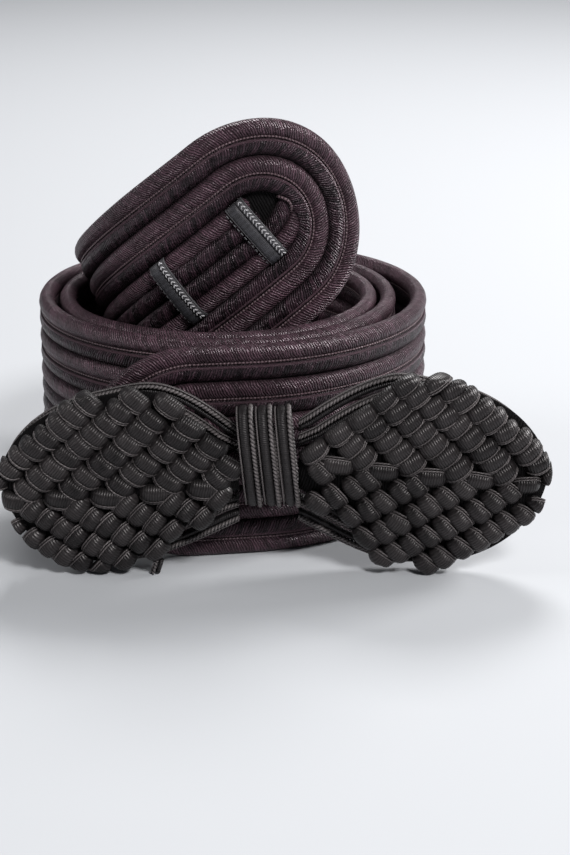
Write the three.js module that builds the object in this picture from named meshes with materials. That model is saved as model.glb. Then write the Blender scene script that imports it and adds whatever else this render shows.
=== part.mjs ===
// A belt of thick wound braids sewn side by side, coiled on its edge, with a woven bow buckle.
//
// Millimetres, +Z up, +X along the bow. The origin is under the middle of the whole thing, on the
// surface that it stands on. The band stands on its lower edge. From the buckle end, at the front,
// it winds anticlockwise as seen from above, two and a half turns inwards. Its last stretch, the
// tongue, bends round at the left, rises out of the coil and shows its outer face to the front.
import * as THREE from 'three';

// The band
const RIDGE_PITCH = 4.5;
const RIDGES_EACH_SIDE = 6;
const BAND_THICKNESS = 4.0;
const GROOVE_IN_BRAID = 0.8;
const GROOVE_BETWEEN_BRAIDS = 1.3;
const RESTING_EDGE = 1.6;
const HALF_WIDTH = RIDGE_PITCH * RIDGES_EACH_SIDE;

// The coil
const COIL_RADIUS = 51.3;
const STRAIGHT_END = 41;
const STRAIGHT_FROM = 8;
const COIL_END = 889;
const QUARTER = 90;
// How deep the band lies inside its first turn, in band thicknesses, at every quarter turn.
const COIL_ROWS = [
  { sunk: 0.0 }, { sunk: 0.2 }, { sunk: 1.0 }, { sunk: 1.15 },
  { sunk: 1.2 }, { sunk: 2.2 }, { sunk: 2.25 }, { sunk: 2.5 },
  { sunk: 2.5 }, { sunk: 3.45 }, { sunk: 3.5 },
];

// The tongue: how tightly it bends, as a share of the coil's radius, and how far in degrees the
// line that it bends about leans left and the band climbs along it, at every sixth of a turn.
const TONGUE_TURN = 229;
const SIXTH = 60;
const TONGUE_ROWS = [
  { bend: 0.545, lean: 0, climb: 0 },
  { bend: 0.575, lean: 7, climb: 13 },
  { bend: 0.585, lean: 15, climb: 25 },
  { bend: 0.925, lean: 15, climb: 25 },
  { bend: 0.85, lean: 15, climb: 25 },
];

// The keepers
const KEEPER_RIDGES = 4;
const KEEPER_WIDTH = 5;
const KEEPER_THICKNESS = 1.5;
const KEEPER_SWELL = 0.5;
const KEEPER_FROM_TIP = 28;
const KEEPER_SPACING = 25;

// The bow
const KNOT_X = 11.7;
const KNOT_Z = 28.8;
const KNOT_WIDTH = 13.6;
const KNOT_HEIGHT = 25.4;
const KNOT_DEPTH = 13;
const KNOT_TURNS = 3;
const KNOT_GROOVE = 1.0;
const BOW_BACK = 5.4;
const FRAME_CORD_WIDTH = 3.4;
const FRAME_CORD_THICKNESS = 2.6;
const FRAME_CORD_GROOVE = 0.5;
const LEAF_BASE = 0.52;
const LEAF_DOME = 3.2;
const DOME_AT_KNOT = 0.1;
const WEAVE_FROM = 0.03;
const BARE_FRAME_TO = 0.1;
const WEAVE_THICKNESS = 2.2;
const BUMP_HEIGHT = 1.1;
const BUMPS_ALONG = 20;
const BUMPS_ACROSS = 12;
const CHEVRON = 0.2;
// The leaves, each with the shares of its length at which it is widest above and below its middle.
const LEFT_LEAF = {
  side: -1, length: 57, height: 46.4, middle: 24.2, peakAbove: 0.38, peakBelow: 0.6,
};
const RIGHT_LEAF = {
  side: 1, length: 59.6, height: 49.4, middle: 25.3, peakAbove: 0.45, peakBelow: 0.53,
};

// The hook
const HOOK_SHEET = 0.8;
const HOOK_THROAT = 1.4;
const HOOK_HEIGHT = 8;
const HOOK_BACK = 18;
const HOOK_LIP = 9;
const HOOK_FROM_TIP = 12;

const GAP = 0.3;
const SAMPLES = 1200;
const BAND_STEPS = 70;
const TIP_STEPS = 7;

const AUBERGINE = new THREE.MeshStandardMaterial({ color: 0x3b2b33, roughness: 0.5, metalness: 0 });
const CHARCOAL = new THREE.MeshStandardMaterial({ color: 0x2b2829, roughness: 0.55, metalness: 0 });
const KEEPER_BLACK = new THREE.MeshStandardMaterial({ color: 0x242427, roughness: 0.5, metalness: 0 });
const STEEL = new THREE.MeshStandardMaterial({ color: 0x8f8a80, roughness: 0.35, metalness: 1 });

const radians = THREE.MathUtils.degToRad;

// The value of one column at an angle: a smooth curve through rows that are evenly spaced.
function readRow(rows, column, spacing, angle) {
  const last = rows.length - 1;
  const place = THREE.MathUtils.clamp(angle / spacing, 0, last);
  const i = Math.min(Math.floor(place), last - 1);
  const t = place - i;
  const [a, b, c, d] = [i - 1, i, i + 1, i + 2].map(
    (k) => rows[THREE.MathUtils.clamp(k, 0, last)][column],
  );
  const cubic = 3 * (b - c) + d - a;
  return b + 0.5 * t * (c - a + t * (2 * a - 5 * b + 4 * c - d + t * cubic));
}

// The coil's middle line at an angle from the front, anticlockwise as seen from above.
function coilPoint(angle) {
  const radius = COIL_RADIUS - BAND_THICKNESS * readRow(COIL_ROWS, 'sunk', QUARTER, angle);
  const turn = radians(angle);
  return new THREE.Vector3(radius * Math.sin(turn), -radius * Math.cos(turn), HALF_WIDTH);
}

function coilHeading(angle) {
  const step = 0.1;
  return coilPoint(angle + step).sub(coilPoint(angle - step)).normalize();
}

// The band's directions on the tongue: forwards, and up across its width. The heading turns about
// a line that leans left, and the band climbs along that line as it turns.
function tongueDirections(heading, turned) {
  const lean = radians(readRow(TONGUE_ROWS, 'lean', SIXTH, turned));
  const climb = radians(readRow(TONGUE_ROWS, 'climb', SIXTH, turned));
  const axis = new THREE.Vector3(-Math.sin(lean), 0, Math.cos(lean));
  const level = new THREE.Vector3(
    Math.cos(lean) * Math.cos(heading),
    Math.sin(heading),
    Math.sin(lean) * Math.cos(heading),
  );
  const forwards = level.clone().multiplyScalar(Math.cos(climb)).addScaledVector(axis, Math.sin(climb));
  const across = axis.clone().multiplyScalar(Math.cos(climb)).addScaledVector(level, -Math.sin(climb));
  return { forwards, across, climb };
}

// The band's middle line, from the buckle end to the tip of the tongue: a straight end, the coil
// and the tongue. Each sample holds its place, its directions and its distance from the start.
function bandPath() {
  const path = [];
  const up = new THREE.Vector3(0, 0, 1);
  const add = (place, forwards, across) => {
    const before = path.at(-1);
    const along = before ? before.along + before.place.distanceTo(place) : 0;
    const outwards = forwards.clone().cross(across).normalize();
    path.push({ place, across, outwards, along });
  };
  const start = coilPoint(STRAIGHT_FROM);
  const firstHeading = coilHeading(STRAIGHT_FROM);
  add(start.clone().addScaledVector(firstHeading, -STRAIGHT_END), firstHeading, up);
  for (let i = 0; i < SAMPLES; i += 1) {
    const angle = THREE.MathUtils.lerp(STRAIGHT_FROM, COIL_END, i / (SAMPLES - 1));
    add(coilPoint(angle), coilHeading(angle), up);
  }
  const last = coilHeading(COIL_END);
  const startHeading = Math.atan2(last.y, last.x);
  const turnStep = TONGUE_TURN / SAMPLES;
  const place = path.at(-1).place.clone();
  for (let i = 1; i <= SAMPLES; i += 1) {
    const turned = turnStep * (i - 0.5);
    const { forwards, across, climb } = tongueDirections(startHeading + radians(turned), turned);
    const bend = COIL_RADIUS * readRow(TONGUE_ROWS, 'bend', SIXTH, turned);
    place.addScaledVector(forwards, (radians(turnStep) * bend) / Math.cos(climb));
    add(place.clone(), forwards, across);
  }
  return path;
}

const PATH = bandPath();
const BAND_LENGTH = PATH.at(-1).along;

// The band's middle line and directions at a distance from the buckle end.
function bandAt(along) {
  let low = 0;
  let high = PATH.length - 1;
  while (high - low > 1) {
    const middle = (low + high) >> 1;
    if (PATH[middle].along > along) high = middle;
    else low = middle;
  }
  const [a, b] = [PATH[low], PATH[high]];
  const t = THREE.MathUtils.clamp((along - a.along) / (b.along - a.along), 0, 1);
  return {
    place: a.place.clone().lerp(b.place, t),
    across: a.across.clone().lerp(b.across, t).normalize(),
    outwards: a.outwards.clone().lerp(b.outwards, t).normalize(),
  };
}

// A point of the band: distance along, distance up across its width, and height off its middle.
function bandPoint(along, across, height) {
  const frame = bandAt(along);
  return frame.place.addScaledVector(frame.across, across).addScaledVector(frame.outwards, height);
}

// A closed body from rows of points and triangles, with its faces turned outwards.
function closedBody(points, triangles) {
  let volume = 0;
  triangles.forEach(([a, b, c]) => {
    volume += points[a].dot(points[b].clone().cross(points[c]));
  });
  const order = volume > 0 ? triangles : triangles.map(([a, b, c]) => [a, c, b]);
  const geometry = new THREE.BufferGeometry();
  const numbers = points.flatMap((point) => point.toArray());
  geometry.setAttribute('position', new THREE.Float32BufferAttribute(numbers, 3));
  geometry.setIndex(order.flat());
  geometry.computeVertexNormals();
  return geometry;
}

// Half the band's thickness at a lane: lanes lie half a ridge apart, from the middle line out.
// Odd lanes run on the ridges. Even lanes run in the seam of a braid, or between two braids.
function laneHeight(lane) {
  if (lane === 2 * RIDGES_EACH_SIDE) return RESTING_EDGE / 2;
  if (lane % 2 === 1) return BAND_THICKNESS / 2;
  return BAND_THICKNESS / 2 - (lane % 4 === 0 ? GROOVE_BETWEEN_BRAIDS : GROOVE_IN_BRAID);
}

// Two triangles for a patch of four corners, or one where two of the corners are the same point.
function addPatch(triangles, a, b, c, d) {
  [[a, b, c], [a, c, d]].forEach((triangle) => {
    if (new Set(triangle).size === triangle.length) triangles.push(triangle);
  });
}

// Places on the flat band where its ribs pass: up one half of the width, round the tip of the
// tongue, back along the other half and round the buckle end. Each is a foot on the middle line
// and a direction away from it.
function bandRays() {
  const rays = [];
  const [first, last] = [HALF_WIDTH, BAND_LENGTH - HALF_WIDTH];
  for (let i = 0; i <= BAND_STEPS; i += 1) {
    rays.push({ foot: i, along: THREE.MathUtils.lerp(first, last, i / BAND_STEPS), turned: 0 });
  }
  for (let i = 1; i < TIP_STEPS; i += 1) {
    rays.push({ foot: BAND_STEPS, along: last, turned: (Math.PI * i) / TIP_STEPS });
  }
  for (let i = BAND_STEPS; i >= 0; i -= 1) {
    rays.push({ foot: i, along: THREE.MathUtils.lerp(first, last, i / BAND_STEPS), turned: Math.PI });
  }
  for (let i = 1; i < TIP_STEPS; i += 1) {
    rays.push({ foot: 0, along: first, turned: Math.PI + (Math.PI * i) / TIP_STEPS });
  }
  return rays;
}

function bandBody() {
  const rays = bandRays();
  const lanes = 2 * RIDGES_EACH_SIDE;
  const points = [];
  const triangles = [];
  const faces = [1, -1];
  const feet = faces.map((face) => {
    const start = points.length;
    for (let i = 0; i <= BAND_STEPS; i += 1) {
      const along = THREE.MathUtils.lerp(HALF_WIDTH, BAND_LENGTH - HALF_WIDTH, i / BAND_STEPS);
      points.push(bandPoint(along, 0, face * laneHeight(0)));
    }
    return start;
  });
  const grids = faces.map((face, side) => rays.map((ray) => {
    const column = [feet[side] + ray.foot];
    for (let lane = 1; lane <= lanes; lane += 1) {
      const reach = (lane * RIDGE_PITCH) / 2;
      const along = ray.along + reach * Math.sin(ray.turned);
      column.push(points.length);
      points.push(bandPoint(along, reach * Math.cos(ray.turned), face * laneHeight(lane)));
    }
    return column;
  }));
  rays.forEach((ray, i) => {
    const [outer, inner] = grids.map((grid) => grid[i]);
    const [outerNext, innerNext] = grids.map((grid) => grid[(i + 1) % rays.length]);
    for (let lane = 0; lane < lanes; lane += 1) {
      addPatch(triangles, outer[lane], outerNext[lane], outerNext[lane + 1], outer[lane + 1]);
      addPatch(triangles, innerNext[lane], inner[lane], inner[lane + 1], innerNext[lane + 1]);
    }
    addPatch(triangles, outer[lanes], outerNext[lanes], innerNext[lanes], inner[lanes]);
  });
  return closedBody(points, triangles);
}

// A bar carried along a row of closed rings of points, with a flat end at each end.
function ringBody(rings) {
  const sides = rings[0].length;
  const points = rings.flat();
  const triangles = [];
  for (let i = 0; i < rings.length - 1; i += 1) {
    for (let k = 0; k < sides; k += 1) {
      const [a, b] = [i * sides + k, i * sides + ((k + 1) % sides)];
      triangles.push([a, b, b + sides], [a, b + sides, a + sides]);
    }
  }
  const end = (rings.length - 1) * sides;
  for (let k = 1; k < sides - 1; k += 1) {
    triangles.push([0, k + 1, k], [end, end + k, end + k + 1]);
  }
  return closedBody(points, triangles);
}

// The section of a flat braid of two ridges: offsets across it and off its back.
function braidSection(width, thickness, groove) {
  const half = width / 2;
  const edge = 0.6 * thickness;
  return [
    [-half, 0], [half, 0], [half, edge], [half / 2, thickness],
    [0, thickness - groove], [-half / 2, thickness], [-half, edge],
  ];
}

// A keeper lies across the middle four ridges, just off them, and swells a little in its middle.
function keeperBody(fromTip) {
  const steps = 8;
  const span = KEEPER_RIDGES * RIDGE_PITCH;
  const section = braidSection(KEEPER_WIDTH, KEEPER_THICKNESS, KEEPER_THICKNESS / 4);
  const rings = Array.from({ length: steps + 1 }, (_, i) => {
    const share = i / steps - 0.5;
    const base = BAND_THICKNESS / 2 + GAP + KEEPER_SWELL * (1 - 4 * share * share);
    return section.map(([side, height]) => bandPoint(
      BAND_LENGTH - fromTip + side,
      share * span,
      base + height,
    ));
  });
  return ringBody(rings);
}

const BOW_Y = -(COIL_RADIUS + BAND_THICKNESS / 2 + BOW_BACK);
const KNOT_BACK = -(COIL_RADIUS + BAND_THICKNESS / 2 + GAP);

// The knot: three turns of braid round the gathered cords, as ribs on an upright flat oval.
function knotBody() {
  const around = 20;
  const rounding = 0.55;
  const rings = [];
  const ribs = 2 * KNOT_TURNS;
  const middle = KNOT_BACK - KNOT_DEPTH / 2;
  for (let i = 0; i <= ribs; i += 1) {
    const inset = i % 2 === 1 ? 0 : KNOT_GROOVE;
    const x = KNOT_X + KNOT_WIDTH * (i / ribs - 0.5);
    rings.push(Array.from({ length: around }, (_, k) => {
      const angle = (2 * Math.PI * k) / around;
      const [c, s] = [Math.cos(angle), Math.sin(angle)];
      return new THREE.Vector3(
        x,
        middle + (KNOT_DEPTH / 2 - inset) * Math.sign(c) * Math.abs(c) ** rounding,
        KNOT_Z + (KNOT_HEIGHT / 2 - inset) * Math.sign(s) * Math.abs(s) ** rounding,
      );
    }));
  }
  return ringBody(rings);
}

// Half the leaf's height, as a share, at a share of its length from the knot, on the half above or
// below its middle: it swells from its base to its widest place as a quarter sine and closes to
// the tip as a quarter ellipse.
function leafShare(leaf, share, isAbove) {
  const peak = isAbove ? leaf.peakAbove : leaf.peakBelow;
  if (share < peak) return LEAF_BASE + (1 - LEAF_BASE) * Math.sin((Math.PI / 2) * (share / peak));
  return Math.sqrt(Math.max(0, 1 - ((share - peak) / (1 - peak)) ** 2));
}

const leafX = (leaf, share) => KNOT_X + leaf.side * (KNOT_WIDTH / 2 + GAP + leaf.length * share);

// A cord of the leaf's frame runs from the top of the knot round the leaf's tip to the bottom of
// the knot, a set distance inside the leaf's outline, with its steps closer at the tip.
function frameCordBody(leaf, inset) {
  const steps = 30;
  const crowding = 1.7;
  const section = braidSection(FRAME_CORD_WIDTH, FRAME_CORD_THICKNESS, FRAME_CORD_GROOVE);
  const outline = Array.from({ length: steps + 1 }, (_, i) => {
    const way = 1 - (2 * i) / steps;
    const share = 1 - Math.abs(way) ** crowding;
    const reach = Math.sign(way) * (leaf.height / 2) * leafShare(leaf, share, way > 0);
    return new THREE.Vector3(leafX(leaf, share), 0, leaf.middle + reach);
  });
  const rings = outline.map((point, i) => {
    const before = outline[Math.max(0, i - 1)];
    const after = outline[Math.min(steps, i + 1)];
    const heading = after.clone().sub(before).normalize();
    if (i === 0) heading.set(leaf.side, 0, 0);
    if (i === steps) heading.set(-leaf.side, 0, 0);
    const inwards = new THREE.Vector3(heading.z, 0, -heading.x).multiplyScalar(leaf.side);
    return section.map(([side, height]) => point.clone()
      .addScaledVector(inwards, inset + side)
      .setY(BOW_Y - height));
  });
  return ringBody(rings);
}

// How far the weave stays inside the leaf's outline: it leaves the frame bare near the knot.
function weaveInset(leaf, share, isAbove) {
  const bare = 2 * (FRAME_CORD_WIDTH + GAP);
  const peak = isAbove ? leaf.peakAbove : leaf.peakBelow;
  return bare * (1 - THREE.MathUtils.smoothstep(share, BARE_FRAME_TO, peak));
}

// A point of the weave's front, some rows from the knot and some columns from the bottom: a dome
// with a bump on every other crossing, and columns that bend towards the tip away from the middle.
function weavePoint(leaf, row, column, back) {
  const across = (2 * column) / BUMPS_ACROSS - 1;
  const plain = WEAVE_FROM + (1 - WEAVE_FROM) * (row / BUMPS_ALONG);
  const share = plain + 2 * CHEVRON * Math.abs(across) * plain * (1 - plain);
  const isAbove = across > 0;
  const reach = (leaf.height / 2) * leafShare(leaf, share, isAbove) - weaveInset(leaf, share, isAbove);
  const rise = Math.sin(Math.PI * (DOME_AT_KNOT + (1 - DOME_AT_KNOT) * share));
  const dome = LEAF_DOME * Math.sqrt(Math.max(0, (1 - across * across) * rise));
  const bump = (row + column) % 2 === 0 ? BUMP_HEIGHT : 0;
  const front = back - WEAVE_THICKNESS - dome - (row === BUMPS_ALONG ? 0 : bump);
  return new THREE.Vector3(leafX(leaf, share), front, leaf.middle + across * Math.max(0, reach));
}

// The woven leaf: rows of points that close to one point at the tip, a rim and a flat back.
function leafBody(leaf) {
  const back = BOW_Y - FRAME_CORD_THICKNESS - GAP;
  const points = [];
  const triangles = [];
  const add = (point) => points.push(point) - 1;
  const grid = Array.from({ length: BUMPS_ALONG }, (_, row) => Array.from(
    { length: BUMPS_ACROSS + 1 },
    (_, column) => add(weavePoint(leaf, row, column, back)),
  ));
  const tip = add(weavePoint(leaf, BUMPS_ALONG, BUMPS_ACROSS / 2, back));
  grid.push(new Array(BUMPS_ACROSS + 1).fill(tip));
  for (let row = 0; row < BUMPS_ALONG; row += 1) {
    for (let column = 0; column < BUMPS_ACROSS; column += 1) {
      const [near, far] = [grid[row], grid[row + 1]];
      addPatch(triangles, near[column], far[column], far[column + 1], near[column + 1]);
    }
  }
  const top = grid.map((row) => row[BUMPS_ACROSS]);
  const bottom = grid.map((row) => row[0]);
  const base = grid[0].slice(1, BUMPS_ACROSS);
  const rim = [...top, ...bottom.slice(0, -1).reverse(), ...base];
  const behind = new Map(rim.map((index) => [index, add(points[index].clone().setY(back))]));
  rim.forEach((front, i) => {
    const next = rim[(i + 1) % rim.length];
    addPatch(triangles, front, next, behind.get(next), behind.get(front));
  });
  for (let i = 0; i < BUMPS_ALONG; i += 1) {
    const corners = [top[i], top[i + 1], bottom[i + 1], bottom[i]];
    addPatch(triangles, ...corners.map((index) => behind.get(index)));
  }
  const fan = [bottom[0], ...base, top[0]].map((index) => behind.get(index));
  for (let k = 1; k < fan.length - 1; k += 1) triangles.push([fan[0], fan[k], fan[k + 1]]);
  return closedBody(points, triangles);
}

// The hook: a strip with its back on the band, folded over at the end near the tip so that a
// keeper slips under its lip and pulls against the fold.
function hookBody() {
  const rise = 2 * HOOK_SHEET + HOOK_THROAT;
  const shape = new THREE.Shape();
  shape.moveTo(0, 0);
  shape.lineTo(HOOK_BACK, 0);
  shape.lineTo(HOOK_BACK, HOOK_SHEET);
  shape.lineTo(HOOK_SHEET, HOOK_SHEET);
  shape.lineTo(HOOK_SHEET, rise - HOOK_SHEET);
  shape.lineTo(HOOK_LIP, rise - HOOK_SHEET);
  shape.lineTo(HOOK_LIP, rise);
  shape.lineTo(HOOK_SHEET / 2, rise);
  shape.lineTo(0, rise - HOOK_SHEET / 2);
  const geometry = new THREE.ExtrudeGeometry(shape, { depth: HOOK_HEIGHT, bevelEnabled: false });
  const seat = bandPoint(HOOK_FROM_TIP, 0, -(BAND_THICKNESS / 2 + GAP));
  const heading = bandAt(HOOK_FROM_TIP);
  const inwards = heading.outwards.clone().negate();
  const forwards = heading.across.clone().cross(heading.outwards);
  const turn = new THREE.Matrix4().makeBasis(forwards, inwards, forwards.clone().cross(inwards));
  geometry.applyMatrix4(turn);
  geometry.translate(seat.x, seat.y, seat.z);
  return geometry;
}

function piece(name, geometry, material) {
  const mesh = new THREE.Mesh(geometry, material);
  mesh.name = name;
  return mesh;
}

const belt = new THREE.Group();
belt.add(piece('belt_band', bandBody(), AUBERGINE));
[['leaf_left', LEFT_LEAF], ['leaf_right', RIGHT_LEAF]].forEach(([name, leaf]) => {
  belt.add(piece(name, leafBody(leaf), CHARCOAL));
  belt.add(piece(`${name}_cord_outer`, frameCordBody(leaf, FRAME_CORD_WIDTH / 2), CHARCOAL));
  belt.add(piece(`${name}_cord_inner`, frameCordBody(leaf, 1.5 * FRAME_CORD_WIDTH + GAP), CHARCOAL));
});
belt.add(piece('knot', knotBody(), CHARCOAL));
belt.add(piece('keeper_tip', keeperBody(KEEPER_FROM_TIP), KEEPER_BLACK));
belt.add(piece('keeper_inner', keeperBody(KEEPER_FROM_TIP + KEEPER_SPACING), KEEPER_BLACK));
belt.add(piece('hook', hookBody(), STEEL));

const box = new THREE.Box3().setFromObject(belt);
const middle = box.getCenter(new THREE.Vector3());
belt.position.set(-middle.x, -middle.y, -box.min.z);

export default belt;
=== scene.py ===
"""The looks of a belt of thick wound braids, coiled on its edge, with a woven bow buckle.

Lengths are millimetres in the shape functions, in the frame of the coil's centre, and turn into
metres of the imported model's frame when a mesh is made. x runs along the bow, y to the back, z up.
"""

import bpy
import numpy as np
from mathutils import Euler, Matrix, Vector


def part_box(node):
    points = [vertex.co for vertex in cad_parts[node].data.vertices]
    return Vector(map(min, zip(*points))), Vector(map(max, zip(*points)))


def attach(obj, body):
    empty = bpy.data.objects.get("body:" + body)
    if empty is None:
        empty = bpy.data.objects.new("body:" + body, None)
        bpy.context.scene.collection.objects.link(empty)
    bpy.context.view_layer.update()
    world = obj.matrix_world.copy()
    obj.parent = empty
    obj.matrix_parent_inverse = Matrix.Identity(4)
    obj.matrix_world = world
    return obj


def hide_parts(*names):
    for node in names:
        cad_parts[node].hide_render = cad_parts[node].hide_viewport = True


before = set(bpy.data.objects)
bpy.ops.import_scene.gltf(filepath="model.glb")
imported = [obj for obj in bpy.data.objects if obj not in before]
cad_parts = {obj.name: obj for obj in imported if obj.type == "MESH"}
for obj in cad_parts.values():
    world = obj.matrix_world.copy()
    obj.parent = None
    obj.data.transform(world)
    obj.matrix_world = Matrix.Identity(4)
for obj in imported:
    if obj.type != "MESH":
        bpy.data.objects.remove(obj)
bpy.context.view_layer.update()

MM = 0.001
GAP = 0.3
RIGHT = np.array([1.0, 0.0, 0.0])
FRONT = np.array([0.0, -1.0, 0.0])
UP = np.array([0.0, 0.0, 1.0])

# The band's line: a straight end, a coil and a tongue that rises out of it
HALF_WIDTH = 27.0
BAND_THICKNESS = 4.0
COIL_RADIUS = 51.3
STRAIGHT_END = 41.0
STRAIGHT_FROM = 8.0
COIL_END = 889.0
QUARTER = 90.0
COIL_SUNK = np.array([0.0, 0.2, 1.0, 1.15, 1.2, 2.2, 2.25, 2.5, 2.5, 3.45, 3.5])
TONGUE_TURN = 229.0
SIXTH = 60.0
TONGUE_BEND = np.array([0.545, 0.575, 0.585, 0.925, 0.85])
TONGUE_LEAN = np.array([0.0, 7.0, 15.0, 15.0, 15.0])
TONGUE_CLIMB = np.array([0.0, 13.0, 25.0, 25.0, 25.0])

# The band's braids: two ridges each, with a seam between them
RIDGE_PITCH = 4.5
RIDGE_NARROWING = 0.12
RIDGE_HALF_WIDTH = 2.42
EDGE_RIDGE_HALF_WIDTH = 2.28
RIDGE_HALF_DEPTH = 2.05
RIDGE_STEP = 1.5
SEAM_HALF_WIDTH = 0.3
SEAM_HEIGHT = 1.25
SEAM_LINE_BESIDE = 0.85
SEAM_LINE_HEIGHT = 1.5
SEAM_LINE_HALF_WIDTH = 0.45
SEAM_BESIDE = 0.1
EDGE_RIDGE = 5
# Painted sheen: the odd ridge of each braid is brighter than its partner by this tone, as the lit
# one of the pair
ODD_RIDGE_PAINTED_SHEEN = 0.35
RIDGE_COLUMNS = 16
CORD_COLUMNS = 6
WAVES = 9
REACH_UNEVEN = 0.06
DEPTH_UNEVEN = 0.03
WIDTH_UNEVEN = 0.012

# The middle braid's open ends run on past the tip's foot, on the lower and the upper half
MIDDLE_RUNS_ON = (11.5, 3.0)
MIDDLE_CURL = 0.03
TUCKED_DEPTH = 1.5
END_ROUNDING = 2.0
UPPER_END = 4.0
UPPER_TUCK_FROM = 1.0
UPPER_TUCK_OVER = 3.0
LOWER_TUCK = 0.5
LOWER_TUCK_OVER = 5.0
THINNEST = 0.0004
WHIPPING_FROM_FOOT = 8.2
WHIPPING_MIDDLE = 0.3
WHIPPING_REACH = 2.7
WHIPPING_BOW = 1.2
WHIPPING_HALF_WIDTH = 0.4
WHIPPING_HALF_DEPTH = 0.35
BLUNT = 1.02
# A sheet of painted shade in the recess inside the tongue's tip
HOLLOW_FROM = -6.0
HOLLOW_TO = 13.0
HOLLOW_ROUNDING = 8.0
HOLLOW_ACROSS = 0.5
HOLLOW_HEIGHT = -1.2
HOLLOW_HALF_WIDTH = 8.6
HOLLOW_HALF_DEPTH = 0.4

# The keepers
KEEPER_SPAN = 18.0
KEEPER_FROM_TIP = 28.0
KEEPER_SPACING = 25.0
KEEPER_ROWS = 40
KEEPER_SEAT = BAND_THICKNESS / 2 + GAP - 0.25
KEEPER_SWELL = 0.5
KEEPER_DIP = 1.2

# A keeper's parts: place across it, height on its line, half width, half depth and more
KEEPER_PARTS = [
    (-0.95, 0.6, 1.45, 0.62, {"columns": 14, "square": 0.7}),
    (1.35, 0.6, 0.95, 0.72, {"columns": 12, "tone": 0.03}),
    (2.35, 0.5, 0.22, 0.3, {"tone": 0.1}),
    (-2.45, 0.5, 0.2, 0.3, {"tone": 0.2}),
]
STITCHES = 16
STITCH_ROWS = (1.05, 1.65)
STITCH_HALF = 0.26
STITCH_ACROSS = 0.42
STITCH_LEAN = 0.4125
STITCH_HEIGHT = 1.28
STITCH_BOW = 0.25
DASHES = 12
DASH_AT = 3.1
DASH_SUNK = 0.1
DASH_HALF = 0.2

# The bow
KNOT_X = 11.7
KNOT_Z = 28.8
KNOT_WIDTH = 13.6
KNOT_HEIGHT = 25.4
KNOT_DEPTH = 13.0
KNOT_LEAN = 0.09
KNOT_TURNS = 3
KNOT_TURN_GAP = 0.1
KNOT_ROWS = 72
KNOT_ROUNDING = 0.8
KNOT_THICKNESS = 1.8
BOW_BACK = 5.4
BOW_Y = -(COIL_RADIUS + BAND_THICKNESS / 2 + BOW_BACK)
KNOT_BACK = -(COIL_RADIUS + BAND_THICKNESS / 2 + GAP)
FRAME_CORD_WIDTH = 3.4
FRAME_CORD_THICKNESS = 2.6
FRAME_INSETS = {"outer": FRAME_CORD_WIDTH / 2, "inner": 1.5 * FRAME_CORD_WIDTH + GAP}
TUCKED_FROM = 0.35
TUCKED_TO = 0.6
LEAF_BASE = 0.52
LEAF_DOME = 3.2
DOME_FROM = 0.1
BARE_FROM = 0.1
WEAVE_THICKNESS = 2.2

# A leaf: side of the knot, length, height and middle; where each half is widest and covers its
# frame; its fold and the half with longer rows; where columns start, how far its frame goes in
# under the weave, and how columns and bumps slant
LEAVES = {
    "leaf_left": {
        "side": -1, "length": 57.0, "height": 46.4, "middle": 24.2, "above": 0.38, "below": 0.6,
        "bare_above": 0.38, "bare_below": 0.38,
        "fold_at_knot": 23.0, "fold_at_tip": 18.8, "long_side": 1,
        "start_above": 8.45, "start_below": 8.45, "frame_tucked": 0.9,
        "lean_above": 0.9, "lean_below": 0.75, "tilt_above": 34.0, "tilt_below": 50.0, "seed": 3,
    },
    "leaf_right": {
        "side": 1, "length": 59.6, "height": 49.4, "middle": 25.3, "above": 0.45, "below": 0.53,
        "bare_above": 0.5, "bare_below": 0.32,
        "fold_at_knot": 29.5, "fold_at_tip": 22.8, "long_side": -1,
        "start_above": 6.6, "start_below": 9.15, "frame_tucked": 1.6,
        "lean_above": 1.1, "lean_below": 0.69, "tilt_above": 36.0, "tilt_below": 42.0, "seed": 8,
    },
}

CUT_END = np.array([-14.6, BOW_Y - 5.5, 4.0])
CUT_END_WAY = np.array([-1.0, 0.8, -3.6])
CUT_END_WIDTH = 2.6
CUT_END_THICKNESS = 1.8

# The weave: columns of bumps lean towards the leaf's tip on both sides of its fold. Every other
# column has a level bump on the fold, and the rows' distances from it step by half a bump.
COLUMN_SPACING = 5.6
LONG_ROWS = 2.62 * np.arange(11)
SHORT_ROWS = np.array([0.0, 2.6, 5.2, 7.8, 10.3, 12.7, 15.0, 17.2, 19.3, 21.4, 23.5])
BUMP_LENGTH = 8.3
STEEP_BUMP = 0.9
SHORT_BUMP = 0.95
BUMP_HALF_WIDTH = 2.25
BUMP_HALF_DEPTH = 2.0
BUMP_ARCH = 1.9
BUMP_CREST = 1.7
LEVEL_BUMP_TILT = 5.0
LEVEL_BUMP = 1.08
TOP_RIM = 0.99
BOTTOM_RIM = 1.02
TIP_RIM = 1.06
RIM_BULGE = 0.35
RIM_DROP = 13.0
RIM_REACH = 0.09
FLOOR_GAP = 0.3
THREADS_ON_BUMP = 13
BUMP_COLUMNS = 14
THREAD_RELIEF = 0.1
WEAVE_FROM = 0.03
TIP_FROM = 0.8
SHRINKS_FROM = 0.75
TIP_SIZE = 0.82
TIP_GIRTH = 0.85
SCATTER_ALONG = 0.22
SCATTER_UP = 0.18
TILT_SCATTER = 4.0
SIZE_SCATTER = 0.04
BRIGHTEST_BUMP = 0.16

# The two cords beside a bump: how far past its half width, and how far below its crest
EDGE_CORDS = ((-0.35, 0.75), (0.15, 1.1))
EDGE_CORD_SHORTER = 0.3
EDGE_CORD_BOW = 1.1
EDGE_CORD_ARCH = 0.9
EDGE_CORD_HALF = 0.22
# Painted highlight: the cords beside each bump take a random tone from half to one, bright against
# the bumps
EDGE_CORD_HIGHLIGHT_TONES = (0.5, 1.0)

# The core under the weave, near black as painted shade between the bumps
CORE_ROWS = 60
CORE_INSET = 1.6
CORE_BACK = 0.6
CORE_SUNK = 1.9
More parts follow.
